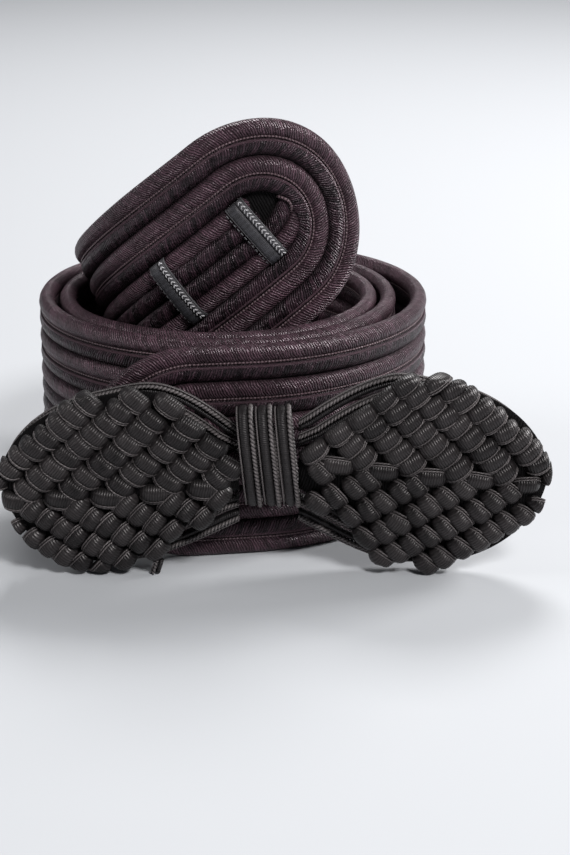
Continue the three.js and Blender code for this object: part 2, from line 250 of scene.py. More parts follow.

# The parts of a flat braid across it: place and half width as shares of its width, height as a
# share of its thickness, and whether its threads stand up as beads. A frame's braid is given from
# its outer edge, a knot's turn from its left edge.
# Painted highlight: in these two tables a tone near one brightens the thin edge lines and the beads
# to the charcoal's bright colour
FRAME_PARTS = [
    {"at": -0.44, "half": 0.06, "height": 0.75, "beads": False, "tone": 0.8},
    {"at": -0.20, "half": 0.15, "height": 1.00, "beads": True, "tone": 0.75},
    {"at": 0.20, "half": 0.235, "height": 0.90, "beads": False, "tone": 0.0},
]
KNOT_PARTS = [
    {"at": -0.43, "half": 0.055, "height": 0.75, "beads": False, "tone": 0.8},
    {"at": -0.09, "half": 0.26, "height": 0.95, "beads": False, "tone": 0.05},
    {"at": 0.31, "half": 0.12, "height": 1.00, "beads": True, "tone": 0.8},
]
BEAD_PITCH = 0.95
BEAD_SLANT = 2.0
BEAD_RELIEF = 0.55
ROWS_PER_BEAD = 6
BRAID_COLUMNS = 10
THREADS_PER_MM = 2.0

# The wound thread: how fine its noises are, per metre, and what makes up a thread's number
BEND_NOISE = 420.0
FRAY_NOISE = 900.0
PATCH_NOISE = 55.0
THREAD_ROUNDING = 0.6
CLUMP_THREADS = 2
CLUMP_SHARE = 0.9
THREAD_SHARE = 0.6
FRAY_SHARE = 1.6
NUMBER_BELOW = 0.32
NUMBER_RELIEF = 0.7

# How a braid's colour and roughness follow the thread
# Painted shade: the colour and strength with which a braid goes nearly black between its threads
# and in the grooves beside a ridge
GAP_SHADE_COLOUR = (0.0012, 0.0009, 0.0011, 1.0)
GAP_SHADE_STRENGTH = 0.95
GAP_ROUGHNESS = 0.4
LIT_BASE = 0.52
PATCH_BASE = 0.3
PATCH_CONTRAST = 1.4

# The camera
CAMERA_PLACE = np.array([15.6, -512.0, 196.0])
CAMERA_DOWN = 19.5
LENS = 85.0
SENSOR = 36.0

knot_low, knot_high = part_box("knot")
FRAME_ORIGIN = np.array([
    (knot_low.x + knot_high.x) / 2 / MM - KNOT_X,
    knot_high.y / MM - KNOT_BACK,
    0.0,
])


def unit(vectors):
    """Vectors of length one."""
    return vectors / np.linalg.norm(vectors, axis=-1, keepdims=True)


def distances(points):
    """The distance along a line at each of its points."""
    steps = np.linalg.norm(np.diff(points, axis=0), axis=1)
    return np.concatenate([[0.0], np.cumsum(steps)])


def read_line(at, marks, rows):
    """Points or directions between the rows of an array, at places on the scale of its marks."""
    return np.stack([np.interp(at, marks, rows[:, k]) for k in range(3)], -1)


def smooth_step(value, start, end):
    """Zero up to the start, one from the end, and 3 t^2 - 2 t^3 between them."""
    t = np.clip((value - start) / (end - start), 0, 1)
    return t * t * (3 - 2 * t)


def thread_relief(phase, size, power):
    """Round threads on a surface: size * (|sine|^power - 0.6), with the phase in threads."""
    return size * (np.abs(np.sin(np.pi * phase)) ** power - 0.6)


def read_rows(values, spacing, angle):
    """A smooth curve through evenly spaced values: the cubic whose slope at each value is half
    the step between its two neighbours."""
    last = len(values) - 1
    place = np.clip(np.asarray(angle, float) / spacing, 0, last)
    i = np.minimum(place.astype(int), last - 1)
    t = place - i
    a, b, c, d = (values[np.clip(i + k, 0, last)] for k in (-1, 0, 1, 2))
    return b + 0.5 * t * (c - a + t * (2 * a - 5 * b + 4 * c - d + t * (3 * (b - c) + d - a)))


def coil_point(angle):
    """The coil's middle line at angles in degrees: a spiral whose radius is the first turn's less
    the depth that the rows give."""
    radius = COIL_RADIUS - BAND_THICKNESS * read_rows(COIL_SUNK, QUARTER, angle)
    turn = np.radians(angle)
    height = np.full_like(turn, HALF_WIDTH)
    return np.stack([radius * np.sin(turn), -radius * np.cos(turn), height], -1)


def band_line(samples=1200):
    """The band's middle line as four arrays: its points, its directions across and outwards, and
    the distance along it. The tongue's heading turns about a line that leans left, and the band
    climbs along that line; its points are the running sum of short steps along the heading."""
    angle = np.linspace(STRAIGHT_FROM, COIL_END, samples)
    coil = coil_point(angle)
    coil_heading = unit(coil_point(angle + 0.1) - coil_point(angle - 0.1))
    up = np.broadcast_to(UP, coil.shape)
    turn_step = TONGUE_TURN / samples
    turned = turn_step * (np.arange(samples) + 0.5)
    lean = np.radians(read_rows(TONGUE_LEAN, SIXTH, turned))[:, None]
    climb = np.radians(read_rows(TONGUE_CLIMB, SIXTH, turned))[:, None]
    start = np.arctan2(coil_heading[-1, 1], coil_heading[-1, 0])
    heading = (start + np.radians(turned))[:, None]
    axis = UP * np.cos(lean) - RIGHT * np.sin(lean)
    leaned = RIGHT * np.cos(lean) + UP * np.sin(lean)
    level = leaned * np.cos(heading) - FRONT * np.sin(heading)
    forwards = level * np.cos(climb) + axis * np.sin(climb)
    across = axis * np.cos(climb) - level * np.sin(climb)
    stride = np.radians(turn_step) * COIL_RADIUS * read_rows(TONGUE_BEND, SIXTH, turned)[:, None]
    tongue = coil[-1] + np.cumsum(forwards * stride / np.cos(climb), axis=0)
    end = coil[0] - STRAIGHT_END * coil_heading[0]
    points = np.concatenate([[end], coil, tongue])
    across = np.concatenate([up[:1], up, across])
    forwards = np.concatenate([coil_heading[:1], coil_heading, forwards])
    return points, across, unit(np.cross(forwards, across)), distances(points)


LINE = band_line()
BAND_LENGTH = LINE[3][-1]
FIRST_FOOT = HALF_WIDTH
LAST_FOOT = BAND_LENGTH - HALF_WIDTH


def band_frame(along):
    """Points and directions of the band's middle line at distances from the buckle end."""
    return [read_line(along, LINE[3], rows) for rows in LINE[:3]]


def band_point(along, across, height):
    """Points of the band: middle line + across * width way + height * outward way."""
    place, width_way, outward_way = band_frame(along)
    return place + width_way * across[..., None] + outward_way * height[..., None]


def track(reach, runs_on=None):
    """The turning marks of a stadium-shaped route that stays a given reach from the middle line:
    distances, feet on the middle line, and directions from them. A whole route goes up one half of
    the width, round the tongue's tip, back along the other half and round the buckle end. An open
    one starts past the tip's foot on the lower half and ends past it on the upper half."""
    if runs_on is None:
        foot = np.array([FIRST_FOOT, LAST_FOOT, LAST_FOOT, FIRST_FOOT, FIRST_FOOT])
        turned = np.pi * np.array([0, 0, 1, 1, 2])
    else:
        foot = np.array([LAST_FOOT + runs_on[0], FIRST_FOOT, FIRST_FOOT, LAST_FOOT + runs_on[1]])
        turned = np.pi * np.array([1, 1, 2, 2])
    marks = np.cumsum(np.abs(np.diff(foot)) + reach * np.diff(turned))
    return np.concatenate([[0.0], marks]), foot, turned


def track_frame(reach, way, height, marks, feet, turns):
    """Points on a route, with the directions away from the middle line and outwards. Past the
    tip's foot, the lower half of an open route curls up with the square of the distance."""
    foot = np.interp(way, marks, feet)
    turned = np.interp(way, marks, turns)
    curl = MIDDLE_CURL * np.clip(foot - LAST_FOOT, 0, None) ** 2 * (turned < 1.5 * np.pi)

    def at(distance):
        along = foot + distance * np.sin(turned)
        return band_point(along, distance * np.cos(turned) + curl, height)

    centre = at(reach)
    side = unit(at(reach + 1) - centre)
    outward = band_frame(foot + reach * np.sin(turned))[2]
    return centre, side, unit(outward)


def tubes(centres, side, rise, half_width, half_depth, columns=CORD_COLUMNS, ring=False,
          relief=0.0, square=1.0, tone=0.0, mirror=False, along=None, hollow=(1.0, 1.0)):
    """Closed tubes round many lines at once.

    A point lies at centre + side * half width * cos(t) + rise * half depth * sin(t), with t going
    round the section. The relief makes both terms larger, and square under 1 makes the section
    fuller. The lines are arrays of tube by row. A ring's last row joins its first. The winding map
    holds the distance along, or the given numbers, and the turns round. A point attribute paints
    shade in the grooves beside the tube: |cos(t)|^5, times the given strengths at the near and the
    far side.
    """
    count, rows = centres.shape[:2]
    side, rise = (np.broadcast_to(way, centres.shape) for way in (side, rise))
    heading = np.gradient(centres, axis=1)
    handed = np.sign(np.sum(np.cross(side, rise) * heading, axis=(1, 2)))
    turn = handed[:, None] * 2 * np.pi * (0.5 + np.arange(columns) / columns)
    cosine, sine = (np.sign(f) * np.abs(f) ** square for f in (np.cos(turn), np.sin(turn)))
    shape = (count, rows)
    out = np.broadcast_to(half_width, shape)[..., None] * cosine[:, None] * (1 + relief)
    up = np.broadcast_to(half_depth, shape)[..., None] * sine[:, None] * (1 + relief)
    points = centres[:, :, None] + side[:, :, None] * out[..., None]
    points = points + rise[:, :, None] * up[..., None]
    if along is None:
        steps = np.linalg.norm(np.diff(centres, axis=1, append=centres[:, :1]), axis=2)
        along = np.concatenate([np.zeros((count, 1)), np.cumsum(steps, axis=1)], axis=1)
    spans = rows if ring else rows - 1
    t, r, c = np.meshgrid(np.arange(count), np.arange(spans), np.arange(columns), indexing="ij")
    corner_rows = np.stack([r, r, r + 1, r + 1], -1)
    corner_columns = np.stack([c, c + 1, c + 1, c], -1)
    index = (t[..., None] * rows + corner_rows % rows) * columns + corner_columns % columns
    turns = corner_columns / columns * (-1 if mirror else 1)
    uv = np.stack([along[t[..., None], corner_rows], turns], -1).reshape(-1, 2)
    corners, sizes = index.reshape(-1), np.full(index.size // 4, 4)
    if not ring:
        start = (np.arange(count) * rows * columns)[:, None]
        first = start + np.arange(columns)[::-1]
        last = start + (rows - 1) * columns + np.arange(columns)
        corners = np.concatenate([corners, first.reshape(-1), last.reshape(-1)])
        sizes = np.concatenate([sizes, np.full(2 * count, columns)])
        uv = np.concatenate([uv, np.zeros((2 * count * columns, 2))])
    tones = np.broadcast_to(np.reshape(tone, (-1, 1)), (count, rows * columns))
    near, far = hollow
    hollows = np.abs(np.cos(turn)) ** 5 * np.where(np.cos(turn) > 0, far, near)
    hollows = np.broadcast_to(hollows[:, None], (count, rows, columns))
    return {
        "points": points.reshape(-1, 3), "corners": corners, "sizes": sizes, "uv": uv,
        "tone": tones.reshape(-1), "hollow": hollows.reshape(-1),
    }


def tube(centres, side, rise, half_width, half_depth, **options):
    """One tube round one line."""
    return tubes(centres[None], side[None], rise[None], half_width, half_depth, **options)


def new_object(name, data):
    """A new object in the scene, at the origin."""
    thing = bpy.data.objects.new(name, data)
    bpy.context.scene.collection.objects.link(thing)
    return thing


def build(name, shapes, material, slot, *nodes):
    """One piece from several shapes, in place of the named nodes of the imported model."""
    starts = np.cumsum([0] + [len(shape["points"]) for shape in shapes])
    points = (np.concatenate([shape["points"] for shape in shapes]) + FRAME_ORIGIN) * MM
    corners = np.concatenate([shape["corners"] + start for shape, start in zip(shapes, starts)])
    sizes = np.concatenate([shape["sizes"] for shape in shapes])
    mesh = bpy.data.meshes.new(name)
    mesh.vertices.add(len(points))
    mesh.vertices.foreach_set("co", points.astype(np.float32).ravel())
    mesh.loops.add(len(corners))
    mesh.loops.foreach_set("vertex_index", corners.astype(np.int32))
    mesh.polygons.add(len(sizes))
    mesh.polygons.foreach_set("loop_start", (np.cumsum(sizes) - sizes).astype(np.int32))
    mesh.update(calc_edges=True)
    mesh.uv_layers.new(name="winding")
    uv = np.concatenate([shape["uv"] for shape in shapes])
    mesh.uv_layers["winding"].data.foreach_set("uv", uv.astype(np.float32).ravel())
    for kind in ("tone", "hollow"):
        values = np.concatenate([shape[kind] for shape in shapes])
        attribute = mesh.attributes.new(kind, "FLOAT", "POINT")
        attribute.data.foreach_set("value", values.astype(np.float32))
    mesh.polygons.foreach_set("use_smooth", np.ones(len(sizes), bool))
    mesh.materials.append(material)
    piece = new_object(name, mesh)
    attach(piece, "root")
    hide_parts(*nodes)


# Materials

def link(tree, value, socket):
    """Feeds a socket from another node's output, or sets it to a value."""
    if isinstance(value, bpy.types.NodeSocket):
        tree.links.new(value, socket)
    else:
        socket.default_value = value


def new_material(name):
    """A material, with its node tree and its shader."""
    material = bpy.data.materials.new(name)
    material.use_nodes = True
    return material, material.node_tree, material.node_tree.nodes["Principled BSDF"]


def calculate(tree, operation, *values):
    """The output of one math node."""
    node = tree.nodes.new("ShaderNodeMath")
    node.operation = operation
    for value, socket in zip(values, node.inputs):
        link(tree, value, socket)
    return node.outputs[0]


def noise(tree, vector, scale, detail=2.0):
    """The value of one noise texture."""
    node = tree.nodes.new("ShaderNodeTexNoise")
    node.inputs["Scale"].default_value = scale
    node.inputs["Detail"].default_value = detail
    link(tree, vector, node.inputs["Vector"])
    return node.outputs["Fac"]


def wound_thread_group():
    """Thread wound round a core, from the winding map: along in millimetres, round in turns.
    The phase is along * threads per mm + round * threads per turn, bent a little by noise. A
    thread's profile is |sine|^0.6 of the phase, and its number is random, shared in part by the
    threads of a clump, and worn along the thread by finer noise. A higher number stands higher."""
    tree = bpy.data.node_groups.new("Wound thread", "ShaderNodeTree")
    for name in ("Threads per mm", "Threads per turn", "Wander"):
        tree.interface.new_socket(name, in_out="INPUT", socket_type="NodeSocketFloat")
    for name in ("Height", "Gap", "Number", "Patch"):
        tree.interface.new_socket(name, in_out="OUTPUT", socket_type="NodeSocketFloat")
    inputs = tree.nodes.new("NodeGroupInput").outputs
    outputs = tree.nodes.new("NodeGroupOutput").inputs
    winding = tree.nodes.new("ShaderNodeUVMap")
    winding.uv_map = "winding"
    place = tree.nodes.new("ShaderNodeSeparateXYZ")
    link(tree, winding.outputs["UV"], place.inputs[0])
    space = tree.nodes.new("ShaderNodeTexCoord").outputs["Object"]
    bend = calculate(tree, "SUBTRACT", noise(tree, space, BEND_NOISE), 0.5)
    phase = calculate(tree, "MULTIPLY", place.outputs[0], inputs["Threads per mm"])
    phase = calculate(tree, "MULTIPLY_ADD", place.outputs[1], inputs["Threads per turn"], phase)
    phase = calculate(tree, "MULTIPLY_ADD", bend, inputs["Wander"], phase)
    wave = calculate(tree, "SINE", calculate(tree, "MULTIPLY", phase, np.pi))
    thread = calculate(tree, "POWER", calculate(tree, "ABSOLUTE", wave), THREAD_ROUNDING)
    number = random_number(tree, calculate(tree, "FLOOR", phase))
    number = calculate(tree, "MULTIPLY", number, THREAD_SHARE)
    clump = calculate(tree, "MULTIPLY", phase, 1 / CLUMP_THREADS)
    clump = random_number(tree, calculate(tree, "FLOOR", clump))
    number = calculate(tree, "MULTIPLY_ADD", clump, CLUMP_SHARE, number)
    fray = calculate(tree, "SUBTRACT", noise(tree, space, FRAY_NOISE, 1.0), 0.5)
    number = calculate(tree, "MULTIPLY_ADD", fray, FRAY_SHARE, number)
    height = calculate(tree, "MULTIPLY_ADD", number, NUMBER_RELIEF, thread)
    link(tree, height, outputs["Height"])
    link(tree, calculate(tree, "SUBTRACT", 1.0, thread), outputs["Gap"])
    link(tree, calculate(tree, "SUBTRACT", number, NUMBER_BELOW), outputs["Number"])
    link(tree, noise(tree, space, PATCH_NOISE, 3.0), outputs["Patch"])
    return tree


def random_number(tree, seed):
    """A number from zero to one for each whole seed."""
    node = tree.nodes.new("ShaderNodeTexWhiteNoise")
    node.noise_dimensions = "1D"
    link(tree, seed, node.inputs["W"])
    return node.outputs["Value"]


WOUND_THREAD = wound_thread_group()


def satin_braid(name, dark, light, bright, per_mm, per_turn, depth, wander=0.8, roughness=0.38,
                specular=0.5, gloss=(1.0, 0.95, 0.96, 1.0)):
    """Satin thread wound round a braid's ridges. The colour goes from dark to light by each
    thread's number, and to bright where the tone is one: painted highlight and sheen on beads, edge
    lines, seam lines and the lit ridge of each pair, random tone on the weave's bumps. Painted
    shade takes it to nearly black between the threads and in the grooves beside a ridge."""
    material, tree, shader = new_material(name)
    wound = tree.nodes.new("ShaderNodeGroup")
    wound.node_tree = WOUND_THREAD
    for value, socket in zip((per_mm, per_turn, wander), wound.inputs):
        socket.default_value = value
    tone, hollow = (tree.nodes.new("ShaderNodeAttribute") for _ in range(2))
    tone.attribute_name = "tone"
    hollow.attribute_name = "hollow"
    lit = calculate(tree, "ADD", tone.outputs["Fac"], LIT_BASE)
    body = mix_colour(tree, calculate(tree, "MULTIPLY", wound.outputs["Number"], lit), dark, light)
    body = mix_colour(tree, tone.outputs["Fac"], body, bright)
    # Painted shade between the threads and in the grooves beside each ridge
    gap_shade = calculate(tree, "MAXIMUM", wound.outputs["Gap"], hollow.outputs["Fac"])
    body = mix_colour(tree, calculate(tree, "MULTIPLY", gap_shade, GAP_SHADE_STRENGTH), body, GAP_SHADE_COLOUR)
    worn = tree.nodes.new("ShaderNodeVectorMath")
    worn.operation = "SCALE"
    link(tree, body, worn.inputs[0])
    patch = calculate(tree, "MULTIPLY_ADD", wound.outputs["Patch"], PATCH_CONTRAST, PATCH_BASE)
    link(tree, patch, worn.inputs["Scale"])
    link(tree, worn.outputs[0], shader.inputs["Base Color"])
    rough = calculate(tree, "MULTIPLY_ADD", gap_shade, GAP_ROUGHNESS, roughness)
    link(tree, rough, shader.inputs["Roughness"])
    bump = tree.nodes.new("ShaderNodeBump")
    bump.inputs["Distance"].default_value = depth * MM
    link(tree, wound.outputs["Height"], bump.inputs["Height"])
    link(tree, bump.outputs["Normal"], shader.inputs["Normal"])
    shader.inputs["Specular IOR Level"].default_value = specular
    shader.inputs["Specular Tint"].default_value = gloss
    return material


def mix_colour(tree, factor, first, second):
    """A mix of two colours."""
    node = tree.nodes.new("ShaderNodeMix")
    node.data_type = "RGBA"
    link(tree, factor, node.inputs["Factor"])
    link(tree, first, node.inputs["A"])
    link(tree, second, node.inputs["B"])
    return node.outputs["Result"]


def steel():
    """Satin steel with fine scratches from stretched noise."""
    material, tree, shader = new_material("hook steel")
    space = tree.nodes.new("ShaderNodeTexCoord").outputs["Object"]
    stretch = tree.nodes.new("ShaderNodeMapping")
    stretch.inputs["Scale"].default_value = (1.0, 1.0, 12.0)
    link(tree, space, stretch.inputs["Vector"])
    scratch = noise(tree, stretch.outputs[0], 300.0, 4.0)
    body = mix_colour(tree, scratch, (0.30, 0.29, 0.27, 1.0), (0.52, 0.50, 0.46, 1.0))
    link(tree, body, shader.inputs["Base Color"])
    link(tree, calculate(tree, "MULTIPLY_ADD", scratch, 0.25, 0.2), shader.inputs["Roughness"])
    shader.inputs["Metallic"].default_value = 1.0
    return material


AUBERGINE = satin_braid(
    "aubergine braid", dark=(0.0022, 0.0010, 0.0016, 1.0), light=(0.090, 0.046, 0.064, 1.0),
    bright=(0.12, 0.068, 0.085, 1.0), per_mm=1.5, per_turn=9.5, depth=0.4, wander=1.8,
    roughness=0.31, specular=0.42, gloss=(1.0, 0.82, 0.9, 1.0),
)
SEAM = satin_braid(
    "aubergine seam", dark=(0.02, 0.012, 0.015, 1.0), light=(0.06, 0.036, 0.044, 1.0),
    bright=(0.13, 0.08, 0.092, 1.0), per_mm=1.1, per_turn=0.0, depth=0.3, wander=0.2,
)
CHARCOAL = satin_braid(
    "charcoal braid", dark=(0.0028, 0.0023, 0.0027, 1.0), light=(0.013, 0.0105, 0.0118, 1.0),
    bright=(0.17, 0.151, 0.151, 1.0), per_mm=THREADS_PER_MM, per_turn=BEAD_SLANT, depth=0.1,
    specular=0.4,
)
WEAVE = satin_braid(
    "charcoal weave", dark=(0.0014, 0.0011, 0.0013, 1.0), light=(0.0175, 0.0140, 0.0150, 1.0),
    bright=(0.15, 0.132, 0.132, 1.0), per_mm=1.0, per_turn=2.0, depth=0.06, wander=0.3,
    roughness=0.31, specular=0.38, gloss=(1.0, 0.94, 0.94, 1.0),
)
# Painted shade: near-black colours for the core under the weave and the sheet in the tongue's tip
SHADE = satin_braid(
    "painted shade backing", dark=(0.0015, 0.0013, 0.0015, 1.0),
    light=(0.003, 0.0026, 0.003, 1.0), bright=(0.01, 0.009, 0.01, 1.0), per_mm=1.4, per_turn=12.0,
    depth=0.2, roughness=0.6, specular=0.15,
)
KEEPER = satin_braid(
    "keeper braid", dark=(0.026, 0.026, 0.030, 1.0), light=(0.078, 0.078, 0.090, 1.0),
    bright=(0.6, 0.585, 0.6, 1.0), per_mm=3.0, per_turn=2.0, depth=0.04,
)


# The band

def wobble(share, seed):
    """A slow uneven wave along a loop: a sum of whole sine waves with seeded sizes and starts."""
    random = np.random.default_rng(seed)
    number = np.arange(3, 3 + WAVES * 7, 7)[:, None]
    height = random.uniform(-1, 1, (WAVES, 1))
    start = random.uniform(0, 2 * np.pi, (WAVES, 1))
    wave = np.sin(2 * np.pi * number * share + start)
    return np.sum(height * wave, axis=0) / np.sqrt(WAVES)


def ridge_reach(ridge):
    """A ridge's distance from the middle line. The two ridges of a braid lie a little closer."""
    toward_partner = RIDGE_NARROWING if ridge % 2 == 0 else -RIDGE_NARROWING
    return (ridge + 0.5) * RIDGE_PITCH + toward_partner


def ridge(number, runs_on=None):
    """One ridge of the band, as a tube that follows its route: a closed loop, or an open one whose
    rounded ends sink and thin out so that they stay inside the band's back."""
    reach = ridge_reach(number)
    route = track(reach, runs_on)
    length = route[0][-1]
    ring = runs_on is None
    rows = int(length / RIDGE_STEP)
    share = np.arange(rows) / rows if ring else np.linspace(0, 1, rows)
    uneven = wobble(share, number)
    round_end, tuck, sunk = 1.0, 0.0, np.zeros(rows)
    if not ring:
        upper = share * length > length - runs_on[1] - UPPER_END
        from_end = np.minimum(share, 1 - share) * length
        round_end = np.sqrt(np.clip(from_end / END_ROUNDING, THINNEST, 1))
        upper_tuck = (runs_on[1] + UPPER_TUCK_FROM - from_end) / UPPER_TUCK_OVER
        lower_tuck = LOWER_TUCK * np.clip(1 - from_end / LOWER_TUCK_OVER, 0, 1)
        tuck = np.where(upper, np.clip(upper_tuck, 0, 1), lower_tuck)
        sunk = -TUCKED_DEPTH * tuck
    reach = reach + REACH_UNEVEN * uneven
    centre, side, outward = track_frame(reach, share * length, sunk, *route)
    depth = (RIDGE_HALF_DEPTH - TUCKED_DEPTH * tuck) * round_end * (1 + DEPTH_UNEVEN * uneven)
    at_edge = number == EDGE_RIDGE
    half = EDGE_RIDGE_HALF_WIDTH if at_edge else RIDGE_HALF_WIDTH
    half = half * round_end * (1 + WIDTH_UNEVEN * uneven)
    # Painted sheen: odd ridges take a brighter tone. Painted shade lies in the grooves on both
    # sides, but not outside the edge ridge.
    return tube(
        centre, side, outward, half, depth, columns=RIDGE_COLUMNS, ring=ring,
        tone=ODD_RIDGE_PAINTED_SHEEN * (number % 2), mirror=number % 2 == 1,
        hollow=(1.0, 0.0 if at_edge else 1.0),
    )


def seam(number, face, beside, height, half):
    """A fine cord along the seam of a braid, on one face of the band, a set distance beside it."""
    reach = (number + 1) * RIDGE_PITCH + beside
    route = track(reach)
    rows = int(route[0][-1] / RIDGE_STEP)
    way = route[0][-1] * np.arange(rows) / rows
    centre, side, outward = track_frame(reach, way, np.full(rows, face * height), *route)
    return tube(centre, side, outward * face, half, half, ring=True, tone=1.0)


def belt_band():
    """The band's braids. The two outer braids are loops, with a dotted cord in their seam on both
    faces and a finer plain one beside it on the outer face. The middle braid is open at the
    tongue's tip, where its ends lie inside the bend of the others."""
    band = ("aubergine_braid", "belt_band")
    for name, number in (("outer", 4), ("second", 2)):
        build(f"braid_{name}", [ridge(number + 1), ridge(number)], AUBERGINE, *band)
        dots = [seam(number, face, SEAM_BESIDE, SEAM_HEIGHT, SEAM_HALF_WIDTH) for face in (1, -1)]
        build(f"seam_{name}", dots, SEAM, *band)
        # Painted highlight: a finer plain cord on the outer face takes tone one, the lit first edge
        # of the inner ridge in the aubergine's bright colour
        line = [seam(number, 1, -SEAM_LINE_BESIDE, SEAM_LINE_HEIGHT, SEAM_LINE_HALF_WIDTH)]
        build(f"seam_highlight_line_{name}", line, AUBERGINE, *band)
    middle = [ridge(1, MIDDLE_RUNS_ON), ridge(0, MIDDLE_RUNS_ON)]
    build("braid_middle", middle, AUBERGINE, *band)
    build("end_whipping", [whipping()], SEAM, *band)
    # Painted shade: a near-black sheet in the recess inside the tongue's tip
    build("hollow_floor", [hollow_floor()], SHADE, *band)


def whipping():
    """The fine cord wound over the middle braid's lower end, as an arch across one ridge."""
    share = np.linspace(-1, 1, 24)
    across = WHIPPING_MIDDLE + WHIPPING_REACH * share
    along = LAST_FOOT + WHIPPING_FROM_FOOT + WHIPPING_BOW * (1 - share ** 2)
    height = RIDGE_HALF_DEPTH * np.sqrt(np.clip(BLUNT - share ** 2, 0, 1))
    line = band_point(along, across, height)
    outward = unit(band_frame(along)[2])
    side = unit(np.cross(np.gradient(line, axis=0), outward))
    return tube(line, side, outward, WHIPPING_HALF_WIDTH, WHIPPING_HALF_DEPTH, tone=1.0)


def hollow_floor():
    """Painted shade: a thin flat near-black tube along the middle of the recess inside the tongue's
    tip, closing it and standing for its shade.
    """
    along = np.linspace(LAST_FOOT + HOLLOW_FROM, LAST_FOOT + HOLLOW_TO, 20)
    half = HOLLOW_HALF_WIDTH * np.sqrt(np.clip((along[-1] - along) / HOLLOW_ROUNDING, 0.01, 1))
    line = band_point(along, np.full(20, HOLLOW_ACROSS), np.full(20, HOLLOW_HEIGHT))
    _, across, outward = band_frame(along)
    return tube(line, unit(across), unit(outward), half, HOLLOW_HALF_DEPTH, columns=12)


# The bow

def leaf_half(leaf, share, is_above):
    """Half the leaf's height at a share of its length: it swells as a quarter sine to its widest
    place and closes to the tip as a quarter ellipse."""
    peak = np.where(is_above, leaf["above"], leaf["below"])
    swell = LEAF_BASE + (1 - LEAF_BASE) * np.sin(np.pi / 2 * np.clip(share / peak, 0, 1))
    close = np.sqrt(np.clip(1 - ((share - peak) / (1 - peak)) ** 2, 0, 1))
    return leaf["height"] / 2 * np.where(share <= peak, swell, close)


def rim_ratio(leaf, share, height):
    """A point's distance from the leaf's widest place as a share of the outline's there, with the
    share of the length at which the leaf is widest."""
    rise = height - leaf["middle"]
    peak = np.where(rise > 0, leaf["above"], leaf["below"])
    half = leaf_half(leaf, np.minimum(share, peak), rise > 0)
    return np.hypot(np.clip((share - peak) / (1 - peak), 0, None), rise / half), peak


def leaf_x(leaf, share):
    """Where a share of the leaf's length lies along the bow."""
    return KNOT_X + leaf["side"] * (KNOT_WIDTH / 2 + GAP + leaf["length"] * share)


def leaf_fold(leaf, share):
    """The height of the line at which the leaf's columns of bumps turn."""
    return leaf["fold_at_knot"] + (leaf["fold_at_tip"] - leaf["fold_at_knot"]) * share


def bare_frame(leaf, share, is_above):
    """How far the weave stays inside the leaf's outline: it leaves the frame bare near the knot."""
    end = np.where(is_above, leaf["bare_above"], leaf["bare_below"])
    return 2 * (FRAME_CORD_WIDTH + GAP) * (1 - smooth_step(share, BARE_FROM, end))


def leaf_depth(leaf, share, height):
    """How far the leaf's front stands off its back: a dome over its outline."""
    is_above = height > leaf["middle"]
    across = (height - leaf["middle"]) / np.maximum(leaf_half(leaf, share, is_above), 0.5)
    rise = np.sin(np.pi * np.clip(DOME_FROM + (1 - DOME_FROM) * share, 0, 1))
    return LEAF_DOME * np.sqrt(np.clip(1 - across ** 2, 0, 1) * np.clip(rise, 0, 1))


def bump_places(leaf):
    """The weave's bumps as five arrays: share of the leaf's length, height, side of the fold, size
    and whether level. A column starts at the fold and leans towards the tip by a share of the
    distance from it. Columns and half rows are counted, and only pairs with an even sum hold a
    bump inside the outline."""
    column, row, side = np.meshgrid(np.arange(-4, 12), np.arange(11), [1, -1], indexing="ij")
    is_long = side == leaf["long_side"]
    from_fold = np.where(is_long, LONG_ROWS[row], SHORT_ROWS[row])
    lean = np.where(side > 0, leaf["lean_above"], leaf["lean_below"])
    start = np.where(side > 0, leaf["start_above"], leaf["start_below"])
    share = (start + column * COLUMN_SPACING + lean * from_fold) / leaf["length"]
    height = leaf_fold(leaf, share) + side * from_fold
    is_above = height > leaf["middle"]
    bare = bare_frame(leaf, share, is_above) * np.where(is_above, 1, -1)
    kept = ((column + row) % 2 == 0) & ((row > 0) | is_long) & (share > WEAVE_FROM)
    to_tip = np.clip((share - TIP_FROM) / (1 - TIP_FROM), 0, 1)
    limit = np.where(is_above, TOP_RIM, BOTTOM_RIM) * (1 - to_tip) + TIP_RIM * to_tip
    kept &= rim_ratio(leaf, share, height + bare)[0] < limit
    size = np.where(side > 0, 1.0, STEEP_BUMP)
    size = np.where(row == 0, LEVEL_BUMP, size)
    size = np.where((row == 1) & ~is_long, SHORT_BUMP, size)
    level = row == 0
    return share[kept], height[kept], side[kept], size[kept], level[kept]


def leaf_front(leaf, share, height):
    """Points on the leaf's front."""
    out = FRAME_CORD_THICKNESS + GAP + WEAVE_THICKNESS + leaf_depth(leaf, share, height)
    return np.stack([leaf_x(leaf, share), BOW_Y - out, height], -1)


def bump_frame(leaf, share, height, side, tilt):
    """The place of each bump on the leaf's front, and its long, short and outward ways. The long
    way tilts from the tip's way towards the bump's side of the fold, and the short way points to
    the fold and the tip."""
    step = 0.5
    towards_tip = unit(leaf_front(leaf, share + step / leaf["length"], height)
                       - leaf_front(leaf, share - step / leaf["length"], height))
    away = unit(leaf_front(leaf, share, height + step) - leaf_front(leaf, share, height - step))
    away = away * side[:, None]
    turn = np.radians(tilt)[:, None]
    outward = unit(np.cross(towards_tip, away))
    outward = outward * -np.sign(outward[:, 1:2])
    long_way = unit(towards_tip * np.cos(turn) + away * np.sin(turn))
    short_way = unit(towards_tip * np.sin(turn) - away * np.cos(turn))
    return leaf_front(leaf, share, height), long_way, short_way, outward


def carry(centre, ways, offsets):
    """Lines through each bump: its place plus each way times its offsets along the line."""
    line = centre[:, None]
    for way, offset in zip(ways, offsets):
        offset = np.broadcast_to(offset, (len(centre), offset.shape[-1]))
        line = line + way[:, None] * offset[..., None]
    return line


